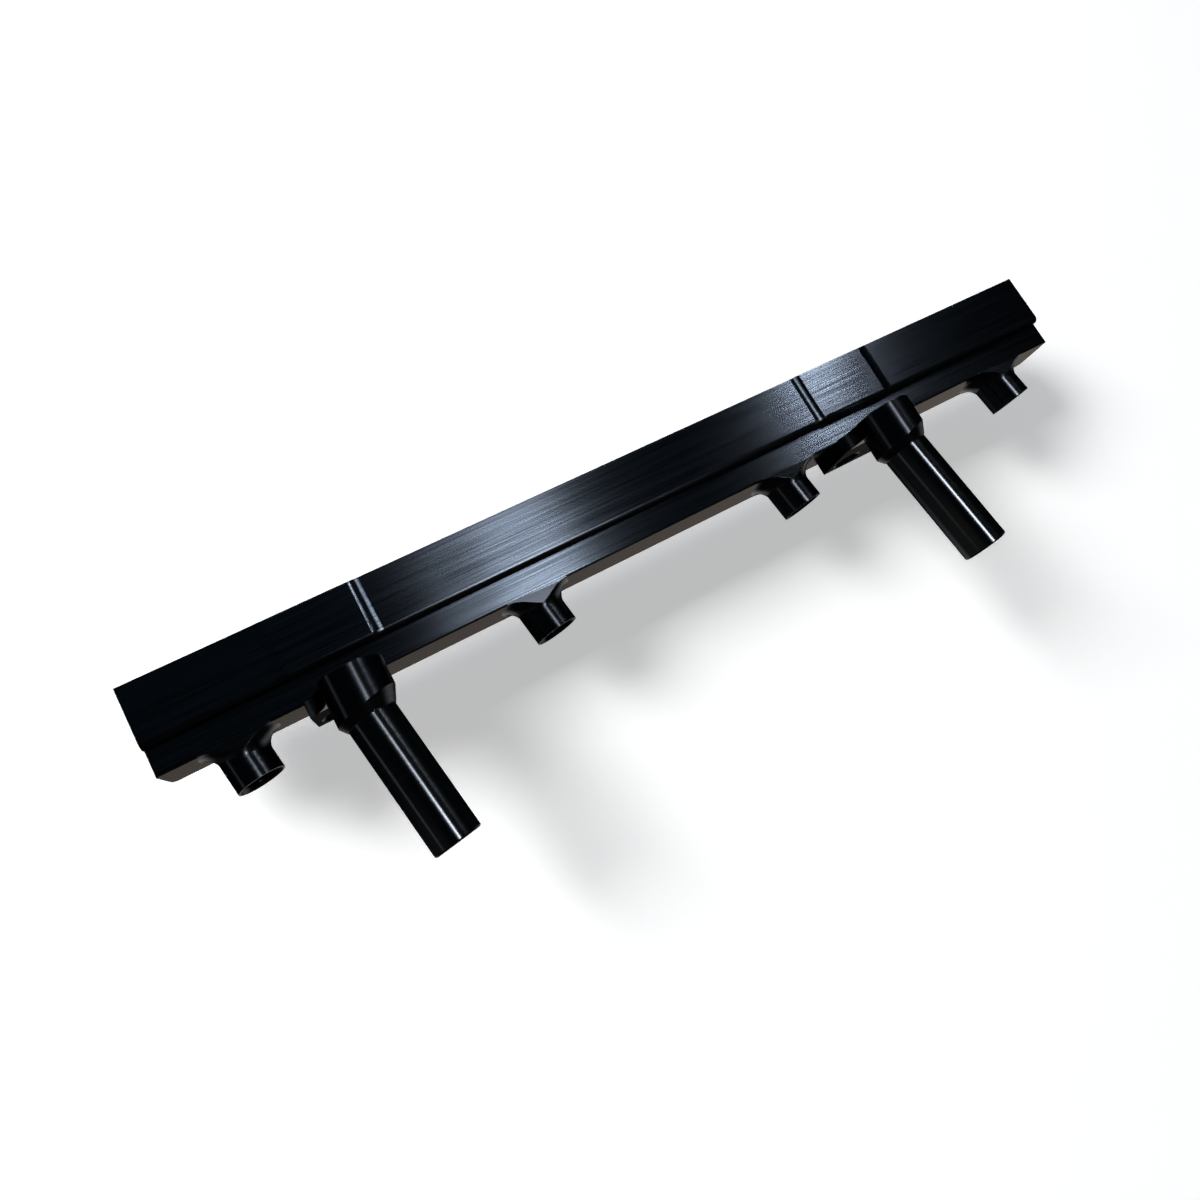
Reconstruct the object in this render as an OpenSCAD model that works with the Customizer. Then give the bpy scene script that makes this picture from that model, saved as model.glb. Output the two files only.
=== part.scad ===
// Fuel rail with four injector cups for one side of an engine, millimetres.
// A long bar carries the fuel passage. Four cups hang from its underside, and
// two tall stand-off posts on its front side carry it and its holding bolts.
// Cups and posts share one direction, which leans along the bar.
// Origin: middle of the left post's foot face. +X along the bar, +Y from the
// posts to the back of the bar, +Z up, square to the bar's underside.

/* [Bar] */
// Length of the bar
bar_len = 387.8; // [382:0.2:400]
// Left end of the bar, measured from the left post's foot
bar_left = -74; // [-80:0.1:-72]
// Height of the bar
bar_h = 31.75; // [29:0.25:36]
// Depth of the lower band, front face to back face
bar_d = 20; // [19:0.1:24]
// How far the upper band's pads stand in front of the lower band
step_out = 3.1; // [2.4:0.1:3.1]
// Height of the lower band's flat front face
lower_face_h = 9.5; // [8:0.1:11]
// Radius along the lower front edge of the upper band
lip_r = 2.2; // [1:0.1:2.2]
// Radius along the lower front edge
lower_edge_r = 1; // [0.4:0.1:2]
// Edge break along the other long edges
edge_break = 0.4; // [0.2:0.1:0.8]
// Radius of the upright corners at the back of the bar
back_corner_r = 3; // [1:0.5:5]
// Radius of the upright corners at the front of the lower band
front_corner_r = 1.2; // [0.5:0.1:2]

/* [Pads on the upper band] */
// How far the middle of the front face lies below the pads
mid_drop = 0.8; // [0.4:0.1:1.2]
// How far the two end sections lie below the pads
end_drop = 0.5; // [0.3:0.1:0.9]
// Width of a pad
pad_w = 30.2; // [26:0.1:34]
// Left edge of the left pad, measured from its collar's axis
pad_left = -18.1; // [-19:0.1:-17.4]
// Cutter radius left at the inner end of a pad
mid_blend_r = 10.4; // [6:0.1:14]
// Cutter radius left at the outer end of a pad
end_blend_r = 16; // [8:0.5:20]

/* [Injector cups] */
// Distance from one injector to the next
pitch = 111.76; // [108:0.01:112.5]
// Lean of the cups and posts along the bar, degrees
lean = 7.8; // [5:0.1:9]
// Outer diameter of a cup
cup_od = 16.8; // [16.4:0.1:17.2]
// Bore for the injector's seal
cup_bore_d = 14; // [13.5:0.1:14.4]
// Depth of that bore
cup_bore_depth = 16.5; // [14:0.5:18]
// Diameter of the lead-in at the mouth
lead_in_d = 15.6; // [15:0.1:15.9]
// Height of the lead-in
lead_in_h = 1.5; // [1:0.1:2.5]
// Height of the middle of the cup mouths above the post feet
mouth_z = 49; // [47:0.1:52]
// Distance from a mouth to the bar's underside, straight up
cup_drop = 14.9; // [13:0.1:17]
// First cup mouth, measured from the left post's foot
first_cup_x = -47.1; // [-49:0.1:-46]
// Distance from the posts' line to the cups' line
cup_y = 20.9; // [20.5:0.1:22]
// Radius where a cup grows out of the underside
flare_r = 6.5; // [5:0.1:7.5]

/* [Stand-off posts] */
// Distance between the two posts
post_spacing = 221.5; // [220:0.1:223]
// Outer diameter of a post
post_od = 17.3; // [16.6:0.1:17.4]
// Length of a post from its foot to the collar
post_len = 48.2; // [45:0.1:50]
// Clearance hole for the holding bolt
bolt_d = 8.5; // [6.6:0.1:9]
// Diameter of the post's spigot
spigot_d = 13; // [12:0.1:14]
// Length of the spigot
spigot_len = 10; // [6:0.5:12]
// Radius where a post grows to meet the collar
post_top_r = 0.3; // [0.1:0.1:0.3]

/* [Collars] */
// Outer diameter of a collar
collar_od = 22.2; // [21.4:0.1:23]
// Diameter of the collar's lower face
nose_d = 18.1; // [18.1:0.1:19.5]
// Height of the taper above that face
taper_h = 3.7; // [3:0.1:5]
// Height of the ear's top above the bar's underside
ear_rise = 1; // [0:0.1:2]
// Diameter of the seat for the holding bolt's head
seat_d = 14.4; // [13:0.1:15]

/* [Feet under the bar] */
// How far a foot reaches below the bar's underside
foot_drop = 5.1; // [4.5:0.1:7]
// Radius of the scoop between an ear and the bar
scoop_r = 15; // [14.8:0.1:18]
// Tap drill of the hole in a foot
foot_hole_d = 8.7; // [6.8:0.1:9]
// Countersink of that hole
foot_sink_d = 12; // [10:0.1:12.4]
// Depth of that hole
foot_hole_depth = 11; // [8:0.5:12]
// Distance of that hole from the foot's left side
foot_hole_x = 8.2; // [7:0.1:10]
// Distance of that hole behind the cups' line
foot_hole_back = 4.2; // [3:0.1:4.6]

/* [Fuel passage] */
// Diameter of the long passage
passage_d = 11.1; // [9:0.1:12]
// Height of the passage above the underside
passage_rise = 18.3; // [17:0.1:19]
// Thread drill of the port at each end
port_d = 13; // [12.2:0.1:14]
// Depth of the port's thread
port_depth = 15; // [12:0.5:20]
// Diameter of the seal seat at the port's mouth
seal_seat_d = 15.9; // [15:0.1:17]
// Hole that feeds each cup
feed_d = 5; // [3:0.1:6]

/* [Hidden] */
$fn = 96;
// Heights above the post feet
under_z = mouth_z + cup_drop;
foot_z = under_z - foot_drop;
ear_z = under_z + ear_rise;
passage_z = under_z + passage_rise;
// Faces across the bar, measured from the posts' line
low_y = cup_y - 8.7;
pad_y = low_y - step_out;
mid_y = pad_y + mid_drop;
end_y = pad_y + end_drop;
back_y = low_y + bar_d;
bar_right = bar_left + bar_len;
// A collar stands upright, centred on the post's axis just below where the post enters
collar_x = -(post_len - 1.5) * sin(lean);
collar_r = collar_od / 2;
pad_x = collar_x + pad_left;
pad_step = 2 * pitch;
cup_r = cup_od / 2;
post_r = post_od / 2;
// The flare's ring runs level, one flare radius below the underside
ring_z = under_z - flare_r;
ring_x = -(ring_z - mouth_z) * tan(lean);
// Along the post's axis: end of the bolt bore's seat
seat_s = (ear_z - 1.2) / cos(lean);
fit_gap = 0.02;
// A lip never reaches the lower band's face
lip = min(lip_r, step_out - mid_drop - 0.1);
// How far a blend runs along the bar, at a pad's inner and outer end
mid_run = sqrt(2 * mid_blend_r * mid_drop - mid_drop * mid_drop);
end_run = sqrt(2 * end_blend_r * end_drop - end_drop * end_drop);
// Where the milled sections are flat, from the left pad to the right one
mid_a = pad_x + pad_w + mid_run;
mid_b = pad_x + pad_step - mid_run;
end_a = pad_x - end_run;
end_b = pad_x + pad_step + pad_w + end_run;

// Puts children on a leaning axis that passes through a point
module leaning(at) {
    translate(at) rotate([0, -lean, 0]) children();
}

// Repeats children on each cup's own leaning axis, starting at the mouth
module at_cup_axes() {
    for (i = [0:3]) leaning([first_cup_x + i * pitch, cup_y, mouth_z]) children();
}

// Repeats children at the left and the right post's place, kept upright
module at_posts() {
    for (x = [0, post_spacing]) translate([x, 0, 0]) children();
}

// The square corner left outside a circle of radius r, at the origin
module corner_waste(r) {
    difference() {
        translate([-1, -1]) square(r + 1);
        translate([r, r]) circle(r);
    }
}

// What a rounding cutter takes off a lip, from the corner at the origin
module lip_waste() {
    difference() {
        translate([-1, 0]) square([lip + 1, lip]);
        translate([lip, lip]) circle(lip);
    }
}

// Cross-section of the bar: across it, and up from the underside
module bar_section() {
    difference() {
        translate([pad_y, 0]) square([back_y - pad_y, bar_h]);
        // the lower band stands back under the upper band's rounded lip
        translate([pad_y - 1, -1]) square([step_out + 1, lower_face_h + 1]);
        translate([pad_y, lower_face_h]) lip_waste();
        translate([low_y, 0]) corner_waste(lower_edge_r);
        for (p = [[back_y, 0], [back_y, bar_h], [pad_y, bar_h]])
            translate(p) rotate(45) square(edge_break * sqrt(2), center = true);
    }
}

// What is milled off in front of the middle section, seen from above
module mid_cut() {
    translate([mid_a, pad_y - 5]) square([mid_b - mid_a, 5 + mid_drop]);
    for (x = [mid_a, mid_b]) translate([x, mid_y - mid_blend_r]) circle(mid_blend_r);
}

// What is milled off outside a pad's outer end at x = 0, running away to -X
module end_cut() {
    translate([-120 - end_run, -5]) square([120, 5 + end_drop]);
    translate([-end_run, end_drop - end_blend_r]) circle(end_blend_r);
}

// Rounds the lip of a milled section whose face lies at y, from x = a to b
module lip_run(a, b, y) {
    translate([a, y, under_z + lower_face_h]) rotate([90, 0, 90]) linear_extrude(b - a) lip_waste();
}

// Carries that round along a blend of radius r that ends at x
module lip_turn(x, y, r) {
    translate([x, y - r, under_z + lower_face_h]) rotate_extrude() translate([r, 0]) lip_waste();
}

// The long bar with its bands, cove, pads and rounded corners
module bar() {
    difference() {
        translate([bar_left, 0, under_z]) rotate([90, 0, 90]) linear_extrude(bar_len) bar_section();
        translate([0, 0, under_z - 1]) linear_extrude(bar_h + 2) mid_cut();
        translate([pad_x, pad_y, under_z - 1]) linear_extrude(bar_h + 2) end_cut();
        translate([pad_x + pad_step + pad_w, pad_y, under_z - 1]) linear_extrude(bar_h + 2)
            mirror([1, 0]) end_cut();
        lip_run(mid_a, mid_b, mid_y);
        lip_run(bar_left - 1, end_a, end_y);
        lip_run(end_b, bar_right + 1, end_y);
        for (x = [mid_a, mid_b]) lip_turn(x, mid_y, mid_blend_r);
        for (x = [end_a, end_b]) lip_turn(x, end_y, end_blend_r);
        translate([0, 0, under_z - 1]) linear_extrude(bar_h + 2) {
            translate([bar_left, back_y]) mirror([0, 1]) corner_waste(back_corner_r);
            translate([bar_right, back_y]) rotate(180) corner_waste(back_corner_r);
        }
        translate([0, 0, under_z - 1]) linear_extrude(lower_face_h + 1) {
            translate([bar_left, low_y]) corner_waste(front_corner_r);
            translate([bar_right, low_y]) mirror([1, 0]) corner_waste(front_corner_r);
        }
    }
}

// Seen from above: one ear, its scooped left side, and the foot that starts at x = left
module foot_plan(left) {
    difference() {
        translate([left, 0]) square([collar_x + collar_r - 0.15 - left, back_y]);
        translate([collar_x - collar_r - scoop_r, 0]) circle(scoop_r);
    }
    translate([collar_x, 0]) circle(collar_r);
}

// The ear and the foot below the bar, and the collar that holds the post
module foot_and_collar(left) {
    translate([0, 0, foot_z]) linear_extrude(ear_z - foot_z) intersection() {
        foot_plan(left);
        translate([-100, -50]) square([200, 50 + low_y + 0.5]);
    }
    translate([0, 0, foot_z]) linear_extrude(foot_drop + 0.5) foot_plan(left);
    intersection() {
        translate([collar_x, 0, foot_z - 20]) cylinder(h = 20 + ear_z - foot_z, r = collar_r);
        leaning([0, 0, 0]) translate([0, 0, post_len]) rotate_extrude() polygon([
            [0, 0], [nose_d / 2, 0], [nose_d / 2 + 2.2 * 5, taper_h * 5],
            [nose_d / 2 + 2.2 * 5, 60], [0, 60]]);
    }
}

// The flare under the bar around one cup: a level ring cut away from a disc
module flare() {
    intersection() {
        translate([ring_x, 0, ring_z]) rotate_extrude() difference() {
            translate([0, -flare_r * 0.2]) square([cup_r + flare_r, flare_r * 1.2 + 0.6]);
            translate([cup_r + flare_r, 0.03]) circle(flare_r + 0.03);
        }
        translate([ring_x, 0, ring_z]) rotate([0, lean * 0.85, 0])
            translate([0, 0, 25]) cube([60, 60, 50], center = true);
        translate([-40, low_y - cup_y, mouth_z]) cube([80, bar_d, 60]);
    }
}

// Everything drilled, bored and tapped from one cup's mouth
module cup_bore() {
    translate([0, 0, -1]) cylinder(h = 1 + cup_bore_depth, d = cup_bore_d);
    translate([0, 0, -0.01]) cylinder(h = lead_in_h, d1 = lead_in_d, d2 = cup_bore_d);
    translate([0, 0, cup_bore_depth - 0.01]) cylinder(h = 2, d1 = cup_bore_d, d2 = feed_d);
    cylinder(h = (passage_z - mouth_z) / cos(lean), d = feed_d);
}

// The long passage, with a threaded port and seal seat at both ends
module fuel_passage() {
    translate([bar_left - 1, cup_y, passage_z]) rotate([0, 90, 0]) {
        cylinder(h = bar_len + 2, d = passage_d);
        for (m = [0, 1]) translate([0, 0, m * (bar_len + 2)]) mirror([0, 0, m]) {
            cylinder(h = 1 + port_depth, d = port_d);
            translate([0, 0, 0.99]) cylinder(h = 2.5, d1 = seal_seat_d, d2 = port_d);
        }
    }
}

// The one-piece billet: bar, cups, ears, feet and collars
module rail_body() {
    color("#20262d") difference() {
        union() {
            bar();
            foot_and_collar(pad_x);
            translate([post_spacing, 0, 0]) foot_and_collar(pad_x + pad_step - post_spacing);
            at_cup_axes() cylinder(h = cup_drop / cos(lean) + 3, r = cup_r);
            for (i = [0:3]) translate([first_cup_x + i * pitch, cup_y, 0]) flare();
        }
        at_cup_axes() cup_bore();
        fuel_passage();
        at_posts() leaning([0, 0, 0]) {
            translate([0, 0, post_len - 2]) cylinder(h = 60, d = bolt_d);
            translate([0, 0, post_len - 1]) cylinder(h = spigot_len + 1.3, d = spigot_d + 2 * fit_gap);
            translate([0, 0, seat_s]) cylinder(h = 4, d = seat_d);
        }
        for (m = [0, 1]) translate([pad_x + m * pad_step + foot_hole_x, cup_y + foot_hole_back, foot_z]) {
            translate([0, 0, -1]) cylinder(h = 1 + foot_hole_depth, d = foot_hole_d);
            translate([0, 0, -0.01])
                cylinder(h = (foot_sink_d - foot_hole_d) / 2, d1 = foot_sink_d, d2 = foot_hole_d);
        }
    }
}

// Half-section of a stand-off post: foot, shank, root fillet and spigot
module post_section() {
    difference() {
        union() {
            square([post_r, post_len]);
            translate([0, post_len - post_top_r]) square([post_r + post_top_r, post_top_r]);
            square([spigot_d / 2, post_len + spigot_len]);
        }
        translate([post_r + post_top_r, post_len - post_top_r]) circle(post_top_r);
        translate([-1, -1]) square([1 + bolt_d / 2, post_len + spigot_len + 2]);
        for (p = [[post_r, 0], [spigot_d / 2, post_len + spigot_len]])
            translate(p) rotate(45) square(0.5 * sqrt(2), center = true);
    }
}

module post() {
    color("#15181c") leaning([0, 0, 0]) rotate_extrude() post_section();
}

module post_left() {
    post();
}

module post_right() {
    translate([post_spacing, 0, 0]) post();
}

rail_body();
post_left();
post_right();
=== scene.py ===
"""Fuel rail: finish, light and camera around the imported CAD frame."""
import math

import bpy
from mathutils import Matrix, Vector

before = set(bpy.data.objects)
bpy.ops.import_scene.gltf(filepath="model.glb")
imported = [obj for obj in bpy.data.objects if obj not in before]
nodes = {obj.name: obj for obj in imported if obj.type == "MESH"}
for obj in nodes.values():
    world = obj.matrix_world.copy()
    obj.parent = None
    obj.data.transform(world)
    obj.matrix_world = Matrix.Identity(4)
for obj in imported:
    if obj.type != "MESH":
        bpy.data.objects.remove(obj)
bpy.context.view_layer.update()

MM = 0.001
LEAN = math.radians(7.8)  # the cups and posts lean along the bar
LEAN_AXIS = (-math.sin(LEAN), 0, math.cos(LEAN))
UNDER_Z = 63.9 * MM  # the bar's underside
FOOT_Z = 58.8 * MM  # the feet's underside
LIP_Z = 71 * MM  # the upper band's rounded lip lies above this
LOW_Y = 12.2 * MM  # front face of the lower band
PAD_REACH = 3.2 * MM  # no face of the bar lies further in front of the lower band
BACK_Y = 32.2 * MM  # the bar's back
MIDDLE = (0.12, 0.01, 0.07)  # of the rail; the lamps aim at it

SLACK = 0.05 * MM  # kept round the heights above when faces are sorted
SQUARE = 0.99  # a face is square to an axis from this share of its normal on
LENGTHWISE = 0.35  # a face runs along the bar up to this share of its normal along X
EDGE_RADIUS = 0.25 * MM  # to which shading softens sharp edges

FLOOR_GAP = 26 * MM  # behind the bar's back
FLOOR_HALF = 6.0
FLOOR_GREY = 0.8
FLOOR_GLOW = 0.48  # for the camera only; it sets how dark the shadow is


# ---------------------------------------------------------------- node trees
class Nodes:
    """Short calls for building the node tree of one material or world."""

    def __init__(self, owner, output):
        owner.use_nodes = True
        self.tree = owner.node_tree
        self.tree.nodes.clear()
        self.out = self.add(output)

    def add(self, kind, **settings):
        node = self.tree.nodes.new(kind)
        for key, value in settings.items():
            setattr(node, key, value)
        return node

    def link(self, a, b):
        self.tree.links.new(a, b)

    def feed(self, socket, value):
        """Links the value if it is another node's output, else sets it."""
        if isinstance(value, bpy.types.NodeSocket):
            self.link(value, socket)
        elif socket.type == "RGBA":
            socket.default_value = (*value, 1)
        else:
            socket.default_value = value

    def noise(self, vector, scale, detail, roughness):
        node = self.add("ShaderNodeTexNoise")
        self.link(vector, node.inputs["Vector"])
        node.inputs["Scale"].default_value = scale
        node.inputs["Detail"].default_value = detail
        node.inputs["Roughness"].default_value = roughness
        return node.outputs["Fac"]

    def stretched(self, vector, scale):
        node = self.add("ShaderNodeMapping", vector_type="POINT")
        self.link(vector, node.inputs["Vector"])
        node.inputs["Scale"].default_value = scale
        return node.outputs["Vector"]

    def remap(self, value, low, high, to_low, to_high, curve="LINEAR"):
        node = self.add("ShaderNodeMapRange", clamp=True, interpolation_type=curve)
        for socket, item in zip(node.inputs, (value, low, high, to_low, to_high)):
            self.feed(socket, item)
        return node.outputs[0]

    def math(self, operation, a, b):
        node = self.add("ShaderNodeMath", operation=operation)
        self.feed(node.inputs[0], a)
        self.feed(node.inputs[1], b)
        return node.outputs[0]

    def mix(self, data_type, fac, a, b):
        """Mixes two colours (RGBA) or two numbers (FLOAT)."""
        node = self.add("ShaderNodeMix", data_type=data_type)
        self.link(fac, node.inputs["Factor"])
        ends = [s for s in node.inputs if s.enabled and s.name in ("A", "B")]
        self.feed(ends[0], a)
        self.feed(ends[1], b)
        return next(s for s in node.outputs if s.enabled)


# ---------------------------------------------------------------- materials
def anodised(name, dark, light, rough, lines, tangent, turn, anisotropy, bump, rim):
    """Black anodised aluminium with fine machining lines.

    dark, light: the colour's two ends. rough: its two ends. lines: how the line
    noise is stretched, per metre. tangent: the direction that highlights follow
    after turning by turn. bump: height of the lines in metres. rim: how much of
    the glancing reflection the dark oxide leaves.
    """
    material = bpy.data.materials.new(name)
    n = Nodes(material, "ShaderNodeOutputMaterial")
    place = n.add("ShaderNodeTexCoord").outputs["Object"]
    wide_lines = tuple(s * 0.45 for s in lines)
    fine = n.noise(n.stretched(place, lines), scale=1.0, detail=1.0, roughness=0.6)
    wide = n.noise(n.stretched(place, wide_lines), scale=1.0, detail=1.0, roughness=0.5)
    cloud = n.noise(place, scale=38.0, detail=3.0, roughness=0.55)
    grain = n.noise(place, scale=5200.0, detail=1.0, roughness=0.5)
    both = n.math("ADD", n.math("MULTIPLY", fine, 0.65), n.math("MULTIPLY", wide, 0.35))
    level = n.math("ADD", n.math("MULTIPLY", both, 0.8), n.math("MULTIPLY", grain, 0.2))

    # the lines' colour, and faint patches over it
    colour = n.mix("RGBA", n.remap(both, 0.35, 0.65, 0, 1), dark, light)
    patch = tuple(c * 0.72 for c in light)
    colour = n.mix("RGBA", n.remap(cloud, 0.35, 0.7, 0, 0.35), colour, patch)

    shader = n.add("ShaderNodeBsdfPrincipled")
    n.link(colour, shader.inputs["Base Color"])
    n.link(n.remap(level, 0.3, 0.7, *rough), shader.inputs["Roughness"])
    n.feed(shader.inputs["Metallic"], 1.0)
    n.feed(shader.inputs["Specular Tint"], rim)
    n.feed(shader.inputs["Anisotropic"], anisotropy)
    n.feed(shader.inputs["Anisotropic Rotation"], turn)
    along = n.add("ShaderNodeCombineXYZ")
    for socket, value in zip(along.inputs, tangent):
        n.feed(socket, value)
    n.link(along.outputs[0], shader.inputs["Tangent"])

    soft = n.add("ShaderNodeBevel", samples=6)
    n.feed(soft.inputs["Radius"], EDGE_RADIUS)
    relief = n.add("ShaderNodeBump")
    n.feed(relief.inputs["Strength"], 0.5)
    n.feed(relief.inputs["Distance"], bump)
    n.link(both, relief.inputs["Height"])
    n.link(soft.outputs[0], relief.inputs["Normal"])
    n.link(relief.outputs[0], shader.inputs["Normal"])
    n.link(shader.outputs[0], n.out.inputs["Surface"])
    return material


BRUSHED = anodised(
    "brushed_billet",
    dark=(0.024, 0.029, 0.037), light=(0.080, 0.095, 0.118), rough=(0.20, 0.24),
    lines=(26, 2500, 2500), tangent=(1, 0, 0), turn=0.25, anisotropy=1.0,
    bump=0.4e-6, rim=(0.56, 0.52, 0.48),
)
TURNED = anodised(
    "turned_billet",
    dark=(0.034, 0.038, 0.045), light=(0.050, 0.056, 0.066), rough=(0.19, 0.24),
    lines=(120, 120, 3000), tangent=LEAN_AXIS, turn=0.0, anisotropy=0.7,
    bump=0.8e-6, rim=(0.55, 0.55, 0.55),
)
POST = anodised(
    "turned_post",
    dark=(0.058, 0.064, 0.070), light=(0.072, 0.080, 0.088), rough=(0.17, 0.20),
    lines=(80, 80, 1400), tangent=LEAN_AXIS, turn=0.0, anisotropy=0.75,
    bump=0.2e-6, rim=(0.55, 0.55, 0.55),
)
# the feet's downward and end faces: a rougher milled finish, its colour darkened as painted
# shade for the dark reflection under the feet
MILLED_PAINTED_SHADE = anodised(
    "milled_foot_painted_shade",
    dark=(0.014, 0.015, 0.017), light=(0.024, 0.026, 0.029), rough=(0.36, 0.46),
    lines=(900, 900, 900), tangent=(0, 1, 0), turn=0.0, anisotropy=0.3,
    bump=1e-6, rim=(0.32, 0.31, 0.30),
)


def rail_finish(centre, normal):
    """The finish of one face of the rail: feet (a darker colour as painted shade), the bar's
    long faces, or what was turned.
    """
    by_foot = FOOT_Z - SLACK < centre.z < UNDER_Z - SLACK and centre.y > LOW_Y - 2 * MM
    if by_foot and (normal.z < -SQUARE or abs(normal.x) > SQUARE):
        return MILLED_PAINTED_SHADE
    on_bar = centre.z > UNDER_Z - SLACK and centre.y > LOW_Y - PAD_REACH
    on_lip = centre.z > LIP_Z and normal.z < -0.02
    if on_bar and abs(normal.x) < LENGTHWISE and not on_lip:
        return BRUSHED
    return TURNED


rail = nodes["rail_body"].data
rail_finishes = [BRUSHED, TURNED, MILLED_PAINTED_SHADE]
rail.materials.clear()
for finish in rail_finishes:
    rail.materials.append(finish)
for face in rail.polygons:
    face.material_index = rail_finishes.index(rail_finish(face.center, face.normal))
for name in ("post_left", "post_right"):
    post = nodes[name].data
    post.materials.clear()
    post.materials.append(POST)


# ---------------------------------------------------------------- floor, light, camera
def white_floor():
    """A large pale plane behind the rail, as photographed; see-through from its own back."""
    mesh = bpy.data.meshes.new("floor")
    ways = ((-1, -1), (1, -1), (1, 1), (-1, 1))
    corners = [(FLOOR_HALF * x, 0, FLOOR_HALF * z) for x, z in ways]
    mesh.from_pydata(corners, [], [(0, 1, 2, 3)])
    floor = bpy.data.objects.new("floor", mesh)
    floor.location = (MIDDLE[0], BACK_Y + FLOOR_GAP, MIDDLE[2])
    bpy.context.scene.collection.objects.link(floor)

    material = bpy.data.materials.new("floor_white")
    n = Nodes(material, "ShaderNodeOutputMaterial")
    matt = n.add("ShaderNodeBsdfDiffuse")
    n.feed(matt.inputs["Color"], (FLOOR_GREY, FLOOR_GREY, FLOOR_GREY))
    glow = n.add("ShaderNodeEmission")
    n.feed(glow.inputs["Color"], (1, 1, 1))
    seen = n.add("ShaderNodeLightPath").outputs["Is Camera Ray"]
    n.link(n.math("MULTIPLY", seen, FLOOR_GLOW), glow.inputs["Strength"])
    front = n.add("ShaderNodeAddShader")
    n.link(matt.outputs[0], front.inputs[0])
    n.link(glow.outputs[0], front.inputs[1])
    clear = n.add("ShaderNodeBsdfTransparent")
    sided = n.add("ShaderNodeMixShader")
    n.link(n.add("ShaderNodeNewGeometry").outputs["Backfacing"], sided.inputs[0])
    n.link(front.outputs[0], sided.inputs[1])
    n.link(clear.outputs[0], sided.inputs[2])
    n.link(sided.outputs[0], n.out.inputs["Surface"])
    mesh.materials.append(material)

    floor.visible_diffuse = False
    floor.visible_glossy = False
    floor.visible_shadow = False


def softbox(name, azimuth, elevation, distance, width, height, radiance, mirrored):
    """An area lamp. Azimuth 0 stands on the -Y side and 90 on the +X side; sizes in degrees.

    Its height runs square to the bar, so it makes a clean band across the brushed faces.
    A mirrored lamp shows only in the metal; any other one lights only the floor.
    """
    a, e = math.radians(azimuth), math.radians(elevation)
    way = Vector((math.sin(a) * math.cos(e), -math.cos(a) * math.cos(e), math.sin(e)))
    lamp = bpy.data.lights.new(name, "AREA")
    lamp.shape = "RECTANGLE"
    lamp.size = 2 * distance * math.tan(math.radians(width / 2))
    lamp.size_y = 2 * distance * math.tan(math.radians(height / 2))
    lamp.color = WINDOW_COLOUR if mirrored else (1, 1, 1)
    lamp.energy = radiance * math.pi * lamp.size * lamp.size_y
    ob = bpy.data.objects.new(name, lamp)
    ob.location = Vector(MIDDLE) + way * distance
    upright = way.cross(Vector((1, 0, 0))).normalized()
    turned = Matrix((upright.cross(way), upright, way)).transposed()
    ob.rotation_mode = "QUATERNION"
    ob.rotation_quaternion = turned.to_quaternion()
    ob.visible_camera = False
    ob.visible_glossy = mirrored
    ob.visible_diffuse = not mirrored
    bpy.context.scene.collection.objects.link(ob)


WINDOW_COLOUR = (0.95, 0.97, 1.0)
LAMPS = (
    # name, azimuth, elevation, distance, width, height, radiance, mirrored
    ("window_low", 12.3, -2, 8.0, 5.5, 10, 38, True),
    ("window_mid", 12.3, 8.5, 8.0, 5.5, 11, 4.5, True),
    ("window_edge", 7.6, -2, 8.0, 3.8, 12, 10, True),
    ("window_high", 44.0, 35, 3.0, 3.4, 18, 72, True),
    ("window_left", -79, 5, 3.0, 9, 30, 0.35, True),
    ("key", -43, 31, 3.5, 22, 22, 24.5, False),
)

white_floor()
for lamp_values in LAMPS:
    softbox(*lamp_values)


def studio_world():
    """White where the camera looks, dark on the camera's side of the room, for reflections."""
    world = bpy.data.worlds.new("studio")
    bpy.context.scene.world = world
    n = Nodes(world, "ShaderNodeOutputWorld")
    way = n.add("ShaderNodeSeparateXYZ")
    n.link(n.add("ShaderNodeTexCoord").outputs["Generated"], way.inputs[0])
    camera_ray = n.add("ShaderNodeLightPath").outputs["Is Camera Ray"]

    def ramp(axis, *numbers):
        return n.remap(way.outputs[axis], *numbers, curve="SMOOTHSTEP")

    # the pale ground behind the rail, which fades to the left and far below
    behind = ramp("Y", -0.25, 0.45, 0.02, 1.0)
    behind = ramp("X", -0.75, -0.25, 0.1, behind)
    below = ramp("Z", -0.55, -0.3, 0.02, behind)
    # the dark room above the horizon, with a dim ceiling
    above = ramp("Z", 0.35, 0.95, 0.012, 0.35)
    room = ramp("Z", -0.2, 0.0, below, above)
    bluish, warm, white = (0.50, 0.78, 1.0), (1.0, 0.93, 0.86), (1, 1, 1)
    tint = n.mix("RGBA", ramp("Z", -0.15, 0.0, 1.0, 0.0), bluish, warm)

    light = n.add("ShaderNodeBackground")
    n.link(n.mix("RGBA", camera_ray, tint, white), light.inputs["Color"])
    n.link(n.mix("FLOAT", camera_ray, room, 1.0), light.inputs["Strength"])
    n.link(light.outputs[0], n.out.inputs["Surface"])


studio_world()

# the camera as fitted to the photo: its place, and its right and up directions
CAMERA_AT = (-0.00316476, -0.29246219, -0.00283148)
RIGHT = Vector((0.8609308615845368, -0.15576382319878837, -0.48428884248328913))
UP = Vector((0.4338436882102885, -0.2723326920744951, 0.8588448981204654))
camera = bpy.data.objects.new("camera", bpy.data.cameras.new("camera"))
bpy.context.scene.collection.objects.link(camera)
turned = Matrix((RIGHT, UP, RIGHT.cross(UP))).transposed()
camera.matrix_world = Matrix.Translation(CAMERA_AT) @ turned.to_4x4()
camera.data.sensor_width = 36
camera.data.lens = 26.701
camera.data.clip_start = 0.01
bpy.context.scene.camera = camera
bpy.context.scene.view_settings.view_transform = "Standard"
